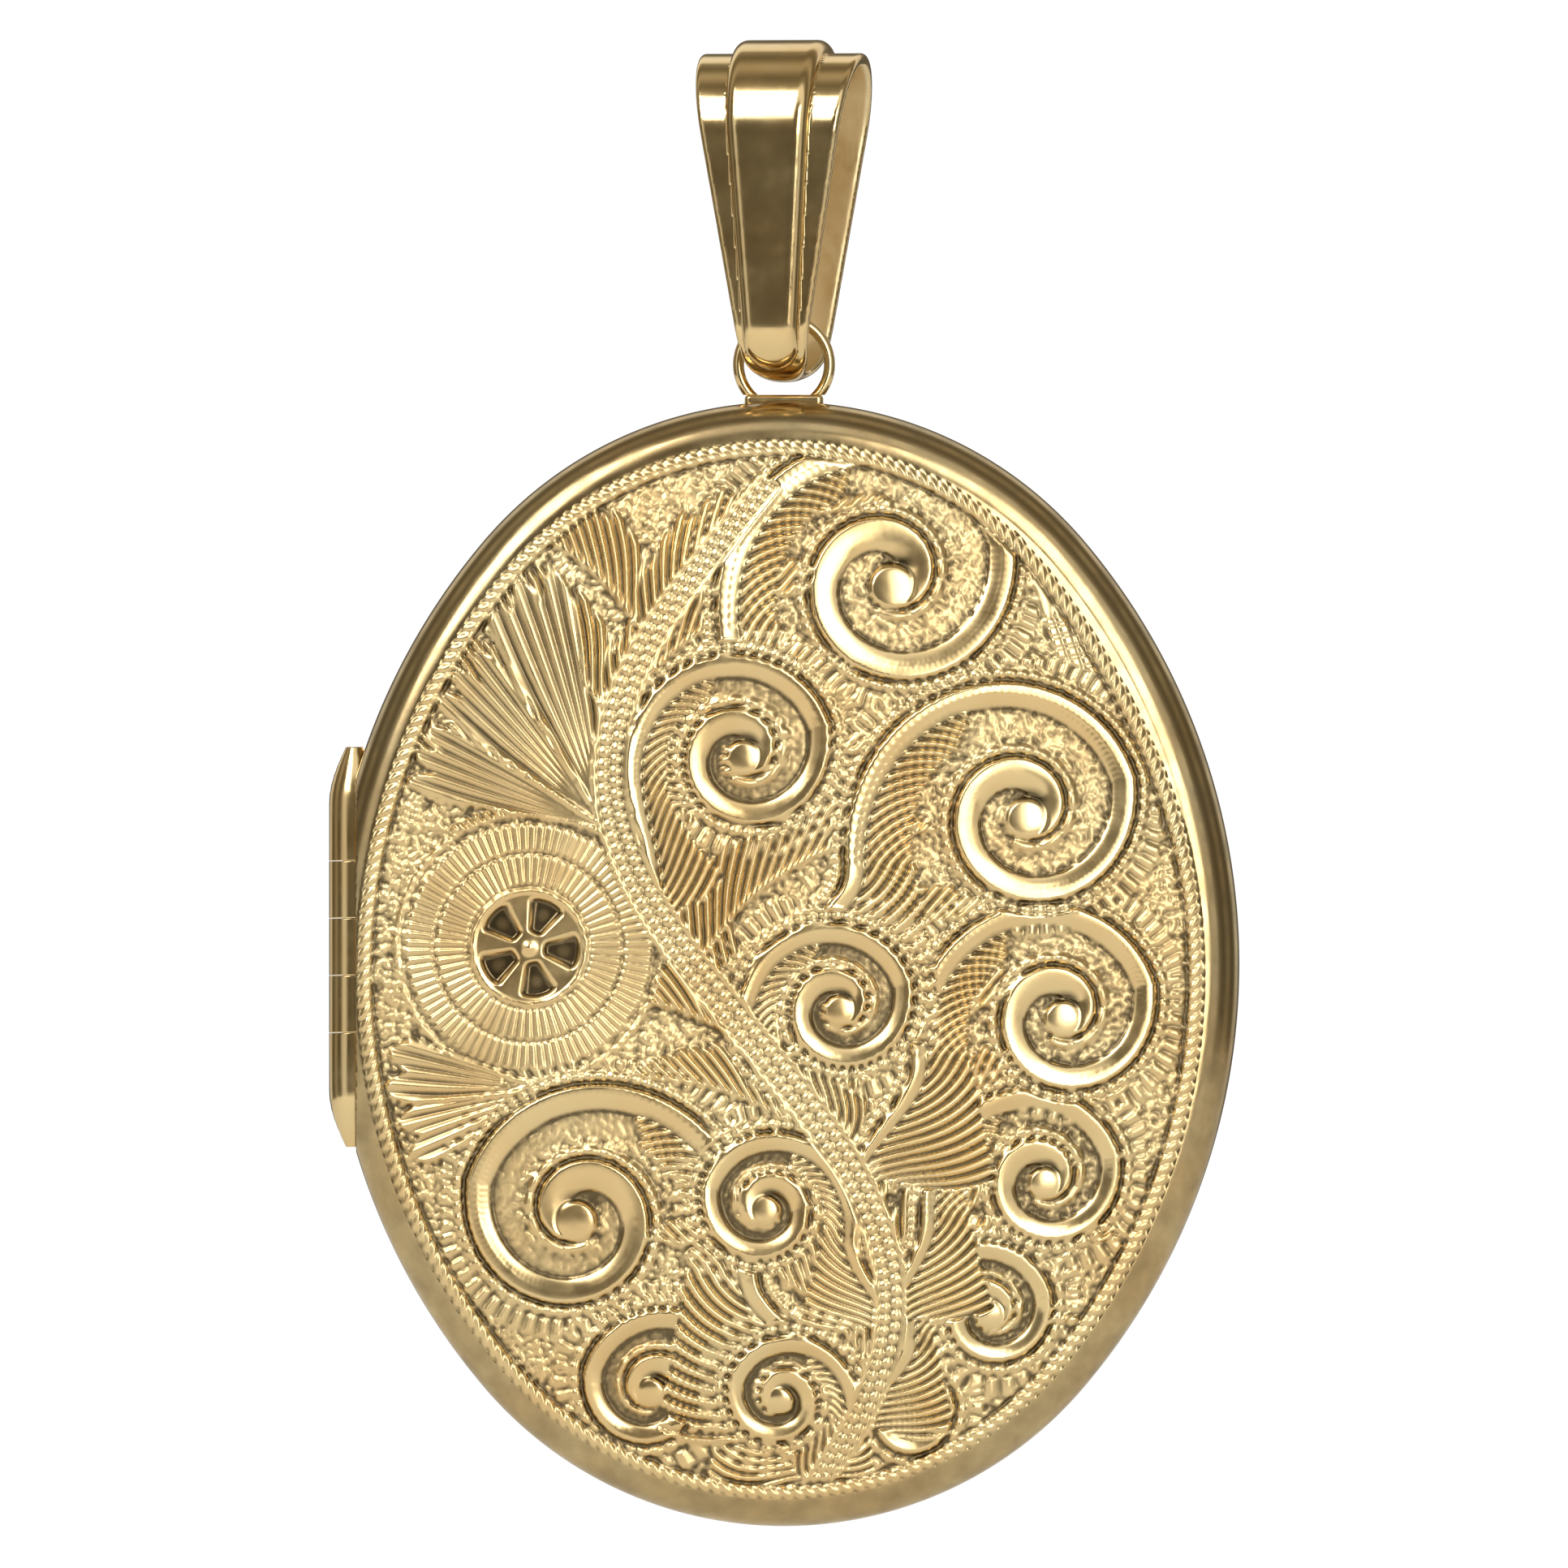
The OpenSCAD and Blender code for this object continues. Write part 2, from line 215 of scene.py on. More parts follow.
def spline(points, n=220):
    """Smooth curve through points, by Catmull-Rom pieces."""
    p = np.array(points, float)
    p = np.vstack([2 * p[0] - p[1], p, 2 * p[-1] - p[-2]])
    out = []
    for k in range(1, len(p) - 2):
        t = np.linspace(0, 1, max(8, n // (len(p) - 3)), endpoint=False)[:, None]
        a, b, c, d = p[k - 1], p[k], p[k + 1], p[k + 2]
        out.append(
            0.5 * (2 * b + (c - a) * t + (2 * a - 5 * b + 4 * c - d) * t**2 + (3 * b - a - 3 * c + d) * t**3)
        )
    return np.vstack(out + [p[-2][None]])


def scroll(eye, far, near, start, turn, root, root_dir, turns=1.75, band=0.34, leaf=1.0, fine=False):
    """A scroll that leaves the stem at root, sweeps out and curls in round its eye."""
    eye = np.array(eye, float)
    theta = np.linspace(0, 2 * math.pi * turns, 190)
    t = np.clip(theta / math.pi, 0, 1)
    late = np.clip((theta - math.pi) / (2 * math.pi * turns - math.pi), 0, 1)
    r = (near + (far - near) * (1 - t) ** 2) * (1 - 0.93 * late**0.85)
    a = math.radians(start) + turn * theta
    curl = eye + np.stack([r * np.cos(a), r * np.sin(a)], 1)
    way = curl[1] - curl[0]
    way /= np.hypot(*way)
    root = np.array(root, float)
    gap = np.hypot(*(curl[0] - root))
    lead = np.array([math.cos(math.radians(root_dir)), math.sin(math.radians(root_dir))])
    stalk = bezier(root, root + lead * gap * 0.35, curl[0] - way * gap * 0.35, curl[0])
    curve = np.vstack([stalk[:-1], curl])
    w = Window(curve, 1.3)
    u, s, total = w.along(curve)
    q = turn * s
    stalk_len = np.hypot(*(stalk[1:] - stalk[:-1]).T).sum()
    grow = smooth(-0.1 * total, 0.35 * total, u)
    width = band * (0.35 + 0.65 * grow) * (1 + 0.35 * smooth(0.8 * total, total, u))

    # Sunk ground inside the loop, cross-cut or stippled
    from_eye = np.hypot(w.x - eye[0], w.z - eye[1])
    loop = (q > 0) & (from_eye < near * 1.35)
    pitch = 0.2
    hatch = np.sin(2 * math.pi * (w.x + w.z) / pitch) * np.sin(2 * math.pi * (w.x - w.z) / pitch)
    grain = stipple[w.cut] if fine else 0.6 * hatch + 0.4 * stipple[w.cut]
    w.paint(blur(loop.astype(float), 0.06, 1), -0.11 + 0.045 * grain, 0.1)

    # Leaf: flutes that leave the band and fan inwards to a toothed edge
    if leaf:
        tip = (stalk_len + 0.16 * (total - stalk_len)) * 1.02
        x = np.clip(u / (tip * 1.25), 0, 1)
        phase = (u - 1.55 * np.clip(q, 0, None) ** 0.85) / (0.3 + 0.07 * near)
        reach = leaf * near * 1.5 * np.sin(math.pi * x**0.8) ** 0.8
        tooth = np.mod(phase / 3, 1)
        reach = reach * (0.86 + 0.2 * tooth)
        clear = smooth(0.42 * near, 0.62 * near, from_eye)
        inside = band_mask(q, width * 0.8, np.maximum(reach, 0.01), 0.05) * clear
        inside = inside * (u > 0.01) * (u < tip * 1.25)
        w.paint(inside, flutes(phase), 0.55)
        w.add(inside * smooth(0.55, 1.0, tooth) * smooth(0.7, 1.0, q / np.maximum(reach, 0.1)), 0.03)

    # Plain band with cut edges, then a row of beads and a fine line outside it
    k = np.clip(q / width, -1, 1)
    w.paint(band_mask(q, -width, width), 0.03 + 0.05 * (1 - k * k) - 0.085 * k, 0.95)
    for side in (-1, 1):
        line = np.exp(-(((q - side * (width + 0.04)) / 0.05) ** 2))
        w.add(line * (np.abs(q) < 0.8), -0.035)
    lie = width + 0.31
    bead, where = bead_row(u, q, -lie, 0.17, 0.36)
    outside = where * (u > 0.3) * (u < total)
    w.paint(outside, bead + 0.03, 0.5)
    w.add(np.exp(-(((q + lie + 0.24) / 0.05) ** 2)) * (u > 0.3) * (u < 0.72 * total), 0.06)
    # Short ray cuts outside the line
    fringe = band_mask(-q, lie + 0.3, lie + 0.95, 0.05) * (u > 0.25 * total) * (u < 0.8 * total)
    over = fringe * (H[w.cut] < -0.03)
    w.paint(blur(over, 0.03, 1), -0.03 + flutes(u / 0.34, 0.13), 0.4)
    # Pit beside the eye, and the rounded end of the band
    end = curve[-1]
    pit = np.hypot(w.x - eye[0] - 0.1 * near, w.z - eye[1] - 0.12 * near)
    w.add(np.exp(-((pit / (0.14 * near)) ** 2)), -0.1)
    ball = np.hypot(w.x - end[0], w.z - end[1]) / (width.max() * 1.25)
    w.paint(1 - smooth(0.85, 1.05, ball), 0.02 + 0.11 * np.sqrt(np.clip(1 - ball**2, 0, 1)), 0.95)


def fan(root, a0, a1, length, pitch_deg, lobes=1, inner=0.4):
    """A fan of ridges spreading from its root to a scalloped edge."""
    pts = np.array([root] + [(root[0] + length * math.cos(math.radians(a)),
                              root[1] + length * math.sin(math.radians(a))) for a in np.linspace(a0, a1, 8)])
    w = Window(pts, 0.4)
    dx, dz = w.x - root[0], w.z - root[1]
    r, a = np.hypot(dx, dz), np.degrees(np.arctan2(dz, dx)) % 360
    k = (a - a0) / (a1 - a0)
    edge = length * (0.88 + 0.12 * np.abs(np.sin(math.pi * np.clip(k, 0, 1) * lobes)))
    bow = 1 - 0.13 * np.sin(math.pi * np.clip(r / length, 0, 1)) * (2 * k - 1)
    phase = (a - a0) * bow / pitch_deg
    body = band_mask(k, 0.0, 1.0, 0.02) * band_mask(r, inner, edge, 0.06)
    w.paint(body, 0.03 * np.sin(math.pi * np.clip(k, 0, 1)) + flutes(phase, 0.14), 0.55)
    for side in (0.0, 1.0):
        rib = np.exp(-(((k - side) * (a1 - a0) * math.pi / 180 * r / 0.07) ** 2))
        w.add(rib * (r > inner) * (r < edge), 0.07)


def leaf_spray(points, reach, side, pitch=0.4, lean=1.3):
    """A leaf on a curved spine, fluted on one side."""
    curve = spline(points)
    w = Window(curve, reach + 0.3)
    u, s, total = w.along(curve)
    q = side * s
    x = np.clip(u / total, 0, 1)
    phase = (u - lean * np.clip(q, 0, None) ** 0.85) / pitch
    wide = reach * np.sin(math.pi * x**0.75) ** 0.7 * (0.85 + 0.22 * np.mod(phase / 3, 1))
    inside = band_mask(q, -0.03, np.maximum(wide, 0.01), 0.05) * (u > 0) * (u < total)
    w.paint(inside, 0.01 + flutes(phase), 0.55)
    w.add(np.exp(-((q / 0.08) ** 2)) * (u > 0) * (u < total), 0.08)


def rosette(centre, r):
    """A small flower in a ring, with two rings of ray cuts round it."""
    pts = np.array([centre, centre]) + np.array([[-2.4 * r] * 2, [2.4 * r] * 2])
    w = Window(pts, 0.1)
    dx, dz = w.x - centre[0], w.z - centre[1]
    d, a = np.hypot(dx, dz), np.arctan2(dz, dx)
    w.paint(1 - smooth(2.28 * r, 2.34 * r, d), -0.06 + 0.04 * stipple[w.cut], 0.3)
    for lo, hi, n in ((1.08, 1.6, 62), (1.66, 2.12, 84)):
        ray = flutes(a * n / (2 * math.pi), 0.13, 0.8)
        w.paint(band_mask(d, lo * r, hi * r, 0.04), ray, 0.5)
    w.paint(1 - smooth(0.97 * r, 1.0 * r, d), 0.01, 0.85)
    petal = 0.5 + 0.5 * np.cos(5 * a + 0.5)
    shape = petal**0.7 * band_mask(d, 0.27 * r, 0.86 * r, 0.1)
    w.add(smooth(0.35, 0.75, shape), -0.19)
    w.add(np.exp(-(((d - r) / 0.09) ** 2)), 0.1)
    w.add(np.exp(-((d / 0.2) ** 2)), 0.1)
    w.add(np.exp(-(((d - 2.3 * r) / 0.07) ** 2)), 0.08)


def shell(centre, r0, r1, a0, a1, n):
    """A half disc of cross cuts inside a ring of rounded lobes."""
    w = Window(np.array([centre, centre]) + np.array([[-r1] * 2, [r1] * 2]), 0.2)
    dx, dz = w.x - centre[0], w.z - centre[1]
    d, a = np.hypot(dx, dz), np.degrees(np.arctan2(dz, dx))
    on = band_mask(a, a0, a1, 1.0)
    k = (a - a0) / (a1 - a0) * n
    lobe = 0.1 * np.abs(np.sin(math.pi * k)) ** 0.6 * (0.5 + 0.5 * smooth(r0, r1, d)) - 0.05
    w.paint(on * band_mask(d, r0 * 1.08, r1, 0.06), lobe, 0.6)
    net = np.minimum(np.abs(np.sin(math.pi * (dx + 0.35 * dz) / 0.42)),
                     np.abs(np.sin(math.pi * (dz - 0.2 * dx) / 0.42)))
    w.paint(on * (1 - smooth(r0 * 0.95, r0, d)), 0.02 - 0.09 * (1 - smooth(0.1, 0.35, net)), 0.6)
    w.add(on * np.exp(-(((d - r0 * 1.02) / 0.07) ** 2)), 0.09)


def stem(points, wide=0.5):
    """The main stem: two rows of beads between plain ridges."""
    curve = spline(points, 260)
    w = Window(curve, 1.2)
    u, s, total = w.along(curve)
    taper = 0.55 + 0.45 * np.sin(math.pi * np.clip(u / total, 0, 1)) ** 0.6
    on = ((u > 0) & (u < total)).astype(float)
    half = wide * taper
    w.paint(on * band_mask(s, -half - 0.16, half + 0.16), -0.06, 0.3)
    for side, shift in ((-1, 0.0), (1, 0.19)):
        bead, where = bead_row(u + shift, s / taper, side * wide * 0.5, 0.23, 0.42)
        w.paint(on * where, bead + 0.05, 0.55)
        ridge = np.exp(-(((s - side * (half + 0.1)) / 0.09) ** 2))
        w.add(on * ridge, 0.14)


# Layout by rule: a plain wave for the stem, and scrolls stacked up the panel beside it
def stem_x(z):
    return -1.2 + 5.0 * math.cos((z + 12.0) / 6.0)


def panel_x(z):
    """Half width of the panel at a height above its middle."""
    x = np.linspace(0, HALF_W, 600)
    return x[oval_inside(x, np.full(600, float(z)))[0] > 1.8].max()


def to_edge(p, degrees):
    """Distance from a point to the panel's edge in a direction."""
    t = np.linspace(0, 30, 1200)
    x, z = p[0] + t * math.cos(math.radians(degrees)), p[1] + t * math.sin(math.radians(degrees))
    return t[oval_inside(x, z)[0] > 1.75].max()


def hang_scroll(side, x, z, near, **look):
    """A scroll to one side of the stem that leaves it below the scroll's eye."""
    far = min(max(0.85 * abs(x - stem_x(z)), 1.3 * near), 1.7 * near)
    low = max(z - 1.6 * near - 1.0, -18.4)
    scroll((x, z), far, near, 90 + 108 * side, -side, (stem_x(low), low), 90 - 12 * side,
           band=0.16 + 0.08 * near, **look)


def column(side, sizes, foot, **look):
    """Scrolls stacked up one side, each against the border."""
    z = foot
    for near in sizes:
        z += 1.05 * near
        hang_scroll(side, side * (panel_x(z) - 1.15 * near - 0.9), z, near, **look)
        z += 1.05 * near


def beside_stem(side, near, z, **look):
    hang_scroll(side, stem_x(z) + side * (1.3 * near + 0.9), z, near, **look)


LEAF_STEP, LEAF_REACH = 2.9, 2.1
for z in np.arange(-17.5, 12.0, LEAF_STEP):
    for side in (-1, 1):
        leaf_spray([(stem_x(z) + side * a, z + b) for a, b in ((0, 0), (2.2, 2.6), (5.2, 4.3), (8.6, 4.9))],
                   LEAF_REACH, side, pitch=0.5)
shell((0.6 * HALF_W, 0.54 * HALF_H), 1.5, 4.2, -20, 110, 9)
ROSE_X = -(panel_x(BARREL_RISE) - stem_x(BARREL_RISE)) / 2
ROSE_R = (panel_x(BARREL_RISE) + stem_x(BARREL_RISE) - 1.0) / 4.7
rosette((ROSE_X, BARREL_RISE), ROSE_R)
spring = (stem_x(4.8) - 0.4, 4.8)
for k in range(3):
    a = 98 + 24.5 * k
    fan(spring, a, a + 23, to_edge(spring, a + 12), 3.6, 3)
under = (ROSE_X + 0.6, BARREL_RISE - 2.45 * ROSE_R)
for k in range(2):
    a = 160 + 27 * k
    fan(under, a, a + 26, to_edge(under, a + 13), 5.2, 2)
column(1, (1.5, 2.0, 2.5, 3.1, 3.7, 4.2), -17.6, fine=True)
column(-1, (2.2, 3.7), -17.4)
for args in ((1, 2.9, 7.5), (1, 2.4, -1.5), (-1, 2.1, -8.6), (-1, 1.7, -15.4)):
    beside_stem(*args)
stem([(stem_x(z), z) for z in np.linspace(-18.7, 17.2, 14)], 0.46)

# Rope border round the panel
around = np.cumsum(np.r_[0, oval_radius(np.linspace(0, 2 * math.pi, 2000), 1.4)[1:] * (2 * math.pi / 1999)])
ARC = np.interp(np.mod(PHI, 2 * math.pi), np.linspace(0, 2 * math.pi, 2000), around)
over = EDGE_D - PANEL_D
rope, on_rope = bead_row(ARC, over, 0.24, 0.25, 0.42, slant=0.9)
H = H * (1 - on_rope) + (rope + 0.04) * on_rope
GLOSS = GLOSS * (1 - on_rope) + 0.5 * on_rope
H += -0.07 * np.exp(-(((over - 0.53) / 0.05) ** 2))
outer = 1 - smooth(-0.05, 0.02, over)
H = H * (1 - outer)
GLOSS = GLOSS * (1 - outer) + outer
H = blur(H, 0.03, 1) + 0.004 * noise(0.5)
RELIEF = H * smooth(0.5, 0.9, EDGE_D)
# Darkening map: the cuts are darker by how far they sink below the blurred relief, and the polished border
# gets a fixed painted dark reflection.
BORDER_PAINTED_DARK, CAVITY_BLUR, CAVITY_GAIN = 0.4, 0.3, 13
CUT_DARK_AND_PAINTED_BORDER = np.clip((blur(H, CAVITY_BLUR) - H) * CAVITY_GAIN, -1, 1) * (1 - outer) + BORDER_PAINTED_DARK * outer


def sample(a, x, z):
    """Values of a map at points, in millimetres from the middle of the case."""
    i = np.clip((x - gx[0]) / STEP, 0, len(gx) - 1.001)
    j = np.clip((z - gz[0]) / STEP, 0, len(gz) - 1.001)
    i0, j0 = i.astype(int), j.astype(int)
    fi, fj = i - i0, j - j0
    return (a[i0, j0] * (1 - fi) * (1 - fj) + a[i0 + 1, j0] * fi * (1 - fj)
            + a[i0, j0 + 1] * (1 - fi) * fj + a[i0 + 1, j0 + 1] * fi * fj)


# ------------------------------------------------------------------ mesh helpers
def shade_smooth(obj, sharp_angle=None):
    """Smooth shading, broken at edges sharper than the angle in degrees."""
    mesh = obj.data
    mesh.polygons.foreach_set("use_smooth", np.ones(len(mesh.polygons), bool))
    if sharp_angle:
        mesh.set_sharp_from_angle(angle=math.radians(sharp_angle))


def make_mesh(name, verts_mm, faces, material=None, smooth_angle=None):
    mesh = bpy.data.meshes.new(name)
    mesh.from_pydata((np.asarray(verts_mm) * MM).tolist(), [], faces)
    mesh.validate()
    obj = bpy.data.objects.new(name, mesh)
    bpy.context.scene.collection.objects.link(obj)
    shade_smooth(obj, smooth_angle)
    if material:
        mesh.materials.append(material)
    return obj


def apply_modifiers(obj):
    """Replaces a piece's mesh by what its modifiers make of it."""
    bpy.context.view_layer.update()
    graph = bpy.context.evaluated_depsgraph_get()
    mesh = bpy.data.meshes.new_from_object(obj.evaluated_get(graph))
    obj.modifiers.clear()
    obj.data = mesh
    return obj


def subtract(obj, *cutters):
    for c in cutters:
        m = obj.modifiers.new("cut", "BOOLEAN")
        m.operation, m.solver, m.object = "DIFFERENCE", "MANIFOLD", c
    apply_modifiers(obj)
    for c in cutters:
        bpy.data.objects.remove(c)
    return obj


def lathe(name, profile, turn=1, steps=96):
    """Closed solid turned about the hinge axis from (radius, height) pairs, bottom to top."""
    a = np.linspace(0, 2 * math.pi, steps, endpoint=False)
    verts = [(r * math.cos(t) + AXIS_X, r * math.sin(t), h + BARREL_RISE + CASE_Z)
             for r, h in profile for t in a]
    faces = []
    for k in range(len(profile) - 1):
        for i in range(steps):
            j = (i + 1) % steps
            faces.append((k * steps + i, k * steps + j, (k + 1) * steps + j, (k + 1) * steps + i))
    faces.append(tuple(range(steps))[::-1])
    faces.append(tuple(range((len(profile) - 1) * steps, len(profile) * steps)))
    return make_mesh(name, verts, faces, None, 35)


def barrel_profile(grow):
    """Outline of the barrel with its tapered ends, bottom to top."""
    out = []
    for u in np.linspace(0, 1, 12)[::-1]:
        out.append((TAPER_END_R + grow + (BARREL_R - TAPER_END_R) * math.cos(math.pi / 2 * u),
                    -BARREL_LEN / 2 - grow - TAPER_LEN * u))
    return out + [(r, -h) for r, h in out[::-1]]


def box_mesh(name, lo, hi):
    verts = [(x, y, z) for x in (lo[0], hi[0]) for y in (lo[1], hi[1]) for z in (lo[2], hi[2])]
    faces = [(0, 1, 3, 2), (4, 6, 7, 5), (0, 4, 5, 1), (2, 3, 7, 6), (0, 2, 6, 4), (1, 5, 7, 3)]
    return make_mesh(name, verts, faces)


def cover(name, front, across, up):
    """A domed cover: a square net mapped onto the oval, closed by rings down and round inside."""
    side = -1.0 if front else 1.0
    u, v = np.meshgrid(np.linspace(-1, 1, across), np.linspace(-1, 1, up), indexing="ij")
    du, dv = u * np.sqrt(1 - v * v / 2), v * np.sqrt(1 - u * u / 2)
    phi = np.arctan2(dv, du)
    reach = np.hypot(du, dv) * oval_radius(phi, PANEL_IN)
    x, z = reach * np.cos(phi), reach * np.sin(phi)
    d = oval_inside(x, z)[0]
    y = cover_height(d) + (sample(RELIEF, x, z) if front else 0.0)
    verts = [np.stack([x.ravel(), side * y.ravel(), z.ravel() + CASE_Z], 1)]
    ids = np.arange(across * up).reshape(across, up)
    quads = np.stack([ids[:-1, :-1], ids[:-1, 1:], ids[1:, 1:], ids[1:, :-1]], -1).reshape(-1, 4)
    loop = np.concatenate([ids[:-1, 0], ids[-1, :-1], ids[:0:-1, -1], ids[0, :0:-1]])
    bx, bz = x.ravel()[loop], z.ravel()[loop]
    _, nx, nz = oval_inside(bx, bz)
    a0 = math.acos(1 - PANEL_IN / EDGE_R)
    low = PARTING / 2
    rings = [(EDGE_R * (1 - math.cos(a)), RIM_H + EDGE_R * math.sin(a)) for a in np.linspace(a0, 0, 14)[1:]]
    rings += [(0.0, 0.75), (0.0, 0.4), (0.0, low + 0.09), (0.03, low + 0.03), (0.09, low),
              (SHEET - 0.06, low), (SHEET, low + 0.06), (SHEET, RIM_H * 0.6)]
    rings += [(EDGE_R - (EDGE_R - SHEET) * math.cos(a), RIM_H + (EDGE_R - SHEET) * math.sin(a))
              for a in np.linspace(0, math.pi / 2, 9)]
    rings += [(EDGE_R + DOME_RUN * k, float(cover_height(np.array(EDGE_R + DOME_RUN * k), SHEET)))
              for k in np.linspace(0, 1, 8)[1:]]
    faces, last, count = [quads if front else quads[:, ::-1]], loop, across * up
    for ring_d, ring_y in rings:
        shift = PANEL_IN - ring_d
        height = np.full(len(bx), side * ring_y)
        verts.append(np.stack([bx + nx * shift, height, bz + nz * shift + CASE_Z], 1))
        new = np.arange(count, count + len(loop))
        count += len(loop)
        f = np.stack([last, np.roll(last, -1), np.roll(new, -1), new], 1)
        faces.append(f[:, ::-1] if front else f)
        last = new
    verts.append(np.array([[0.0, side * rings[-1][1], CASE_Z]]))
    tri = np.stack([last, np.roll(last, -1), np.full(len(last), count)], 1)
    tri = tri[:, ::-1] if front else tri
    obj = make_mesh(name, np.vstack(verts), np.vstack(faces).tolist() + tri.tolist())
    bm = bmesh.new()
    bm.from_mesh(obj.data)
    bmesh.ops.recalc_face_normals(bm, faces=bm.faces)
    bm.to_mesh(obj.data)
    bm.free()
    room = lathe(name + "_room", barrel_profile(HINGE_GAP))
    cut_half = BARREL_LEN / 2 + 2 * TAPER_LEN
    mid = CASE_Z + BARREL_RISE
    slab = box_mesh(name + "_slab", (AXIS_X + CHORD - 2 * BARREL_R, -2 * HALF_T, mid - cut_half),
                    (AXIS_X + CHORD, 2 * HALF_T, mid + cut_half))
    cutters = [room, slab]
    if front:
        turn = np.linspace(0, 2 * math.pi, 180, endpoint=False)
        middle = HALF_W - NICK_DEPTH + NICK_R
        scoop = [(middle + NICK_R * math.cos(t), y, CASE_Z + NICK_R * math.sin(t))
                 for y in (-SHEET, PARTING) for t in turn]
        n = len(turn)
        faces = [(i, (i + 1) % n, n + (i + 1) % n, n + i) for i in range(n)]
        faces += [tuple(range(n))[::-1], tuple(range(n, 2 * n))]
        cutters.append(make_mesh(name + "_nick", scoop, faces))
    subtract(obj, *cutters)
    return obj


def paint_attributes(obj):
    """Stores darkening and gloss on each point: cut depth on the engraved face, and the border's painted
    dark reflection on the rim and inner face.
    """
    co = np.empty(len(obj.data.vertices) * 3, np.float32)
    obj.data.vertices.foreach_get("co", co)
    co = co.reshape(-1, 3) / MM
    x, z = co[:, 0].astype(float), co[:, 2].astype(float) - CASE_Z
    d = oval_inside(x, z)[0]
    on_face = (-co[:, 1] > cover_height(d) - 0.3) & (d > 0.6)
    # Off the engraved face, points more than 0.3 mm up (the rim and the inside of the cover) take the
    # border's painted dark tone.
    darkening = np.where(on_face, sample(CUT_DARK_AND_PAINTED_BORDER, x, z), np.where(-co[:, 1] > 0.3, BORDER_PAINTED_DARK, 0.0))
    gloss = np.where(on_face, sample(GLOSS, x, z), np.where(-co[:, 1] > 0.4, 1.0, 0.9))
    inner = (-co[:, 1] < cover_height(d) - 0.3) & (d > 0.45)
    gloss = np.where(inner, 0.2, gloss)
    for label, values in (("cut_and_border_darkening", darkening), ("gloss", gloss)):
        att = obj.data.attributes.new(label, "FLOAT", "POINT")
        att.data.foreach_set("value", values.astype(np.float32))


# ------------------------------------------------------------------ rounded shapes from fields
def net_mesh(name, field, lo, hi, step):
    """Closed mesh of the surface where field is zero, negative inside, by surface nets."""
    n = [int(math.ceil((h - l) / step)) + 1 for l, h in zip(lo, hi)]
    axes = [l + step * np.arange(k) for l, k in zip(lo, n)]
    P = np.meshgrid(*axes, indexing="ij")
    F = field(*P)
    inside = F < 0
    shape = tuple(k - 1 for k in n)
    total, hits = np.zeros(shape + (3,)), np.zeros(shape)
    for axis in range(3):
        others = [k for k in range(3) if k != axis]
        for a in (0, 1):
            for b in (0, 1):
                s0, s1 = [None] * 3, [None] * 3
                s0[axis], s1[axis] = slice(0, -1), slice(1, None)
                for k, o in zip(others, (a, b)):
                    s0[k] = s1[k] = slice(o, n[k] - 1 + o)
                f0, f1 = F[tuple(s0)], F[tuple(s1)]
                cross = (f0 < 0) != (f1 < 0)
                t = np.where(cross, f0 / np.where(cross, f0 - f1, 1), 0)
                place = np.zeros(shape + (3,))
                place[..., axis] = t
                place[..., others[0]], place[..., others[1]] = a, b
                total += place * cross[..., None]
                hits += cross
    active = hits > 0
    index = -np.ones(shape, int)
    index[active] = np.arange(active.sum())
    cell = np.stack(np.nonzero(active), 1)
    pts = np.array(lo) + step * (cell + total[active] / hits[active][:, None])
    faces = []
    for axis in range(3):
        b, c = [k for k in range(3) if k != axis]
        i0, i1 = [slice(1, -1)] * 3, [slice(1, -1)] * 3
        i0[axis], i1[axis] = slice(0, -1), slice(1, None)
        flip = inside[tuple(i0)] != inside[tuple(i1)]
        where = np.stack(np.nonzero(flip), 1)
        start = inside[tuple(i0)][flip]
        base = where.copy()
        base[:, b] += 1
        base[:, c] += 1
        quad = []
        for ob, oc in ((-1, -1), (0, -1), (0, 0), (-1, 0)):
            q = base.copy()
            q[:, b] += ob
            q[:, c] += oc
            quad.append(index[q[:, 0], q[:, 1], q[:, 2]])
        quad = np.stack(quad, 1)
        turn = start if axis != 1 else ~start
        quad[~turn] = quad[~turn][:, ::-1]
        faces.append(quad)
    e = step * 0.05
    for _ in range(3):
        x, y, z = pts.T
        f = field(x, y, z)
        g = np.stack([field(x + e, y, z) - field(x - e, y, z), field(x, y + e, z) - field(x, y - e, z),
                      field(x, y, z + e) - field(x, y, z - e)], 1) / (2 * e)
        move = f[:, None] * g / np.maximum((g * g).sum(1), 0.2)[:, None]
        pts = pts - np.clip(move, -0.5 * step, 0.5 * step)
    return make_mesh(name, pts, np.vstack(faces).tolist())


def round_max(a, b, k):
    """Meeting of two fields with edges rounded to radius k."""
    return np.minimum(np.maximum(a, b), -k) + np.hypot(np.maximum(a + k, 0), np.maximum(b + k, 0))


def round_min(a, b, k):
    return -round_max(-a, -b, k)


BAIL_H, BAIL_TOP_R, BAIL_FOOT_R, BAIL_T = 11.76, 2.75, 2.3, 0.45
BAIL_W, BAIL_END_R, RIB_T, RIB_W, RIB_END_R, RIB_LIFT = 5.9, 1.2, 0.48, 3.3, 1.0, 0.45
BAIL_TURN, STRIP_ROUND, RIB_ROUND = 12.0, 0.17, 0.44
INSIDE_FROM = 0.9  # the inner face starts at this share of the strip's thickness


def loop_field(y, z):
    """Signed distance to the side view of the folded strip."""
    y = np.abs(y)
    rise = BAIL_H - BAIL_TOP_R - BAIL_FOOT_R
    b = (BAIL_FOOT_R - BAIL_TOP_R) / rise
    a = math.sqrt(1 - b * b)
    pz = z - BAIL_FOOT_R
    k = -b * y + a * pz
    along = a * y + b * pz - BAIL_FOOT_R
    return np.where(k < 0, np.hypot(y, pz) - BAIL_FOOT_R,
                    np.where(k > a * rise, np.hypot(y, pz - rise) - BAIL_TOP_R, along))


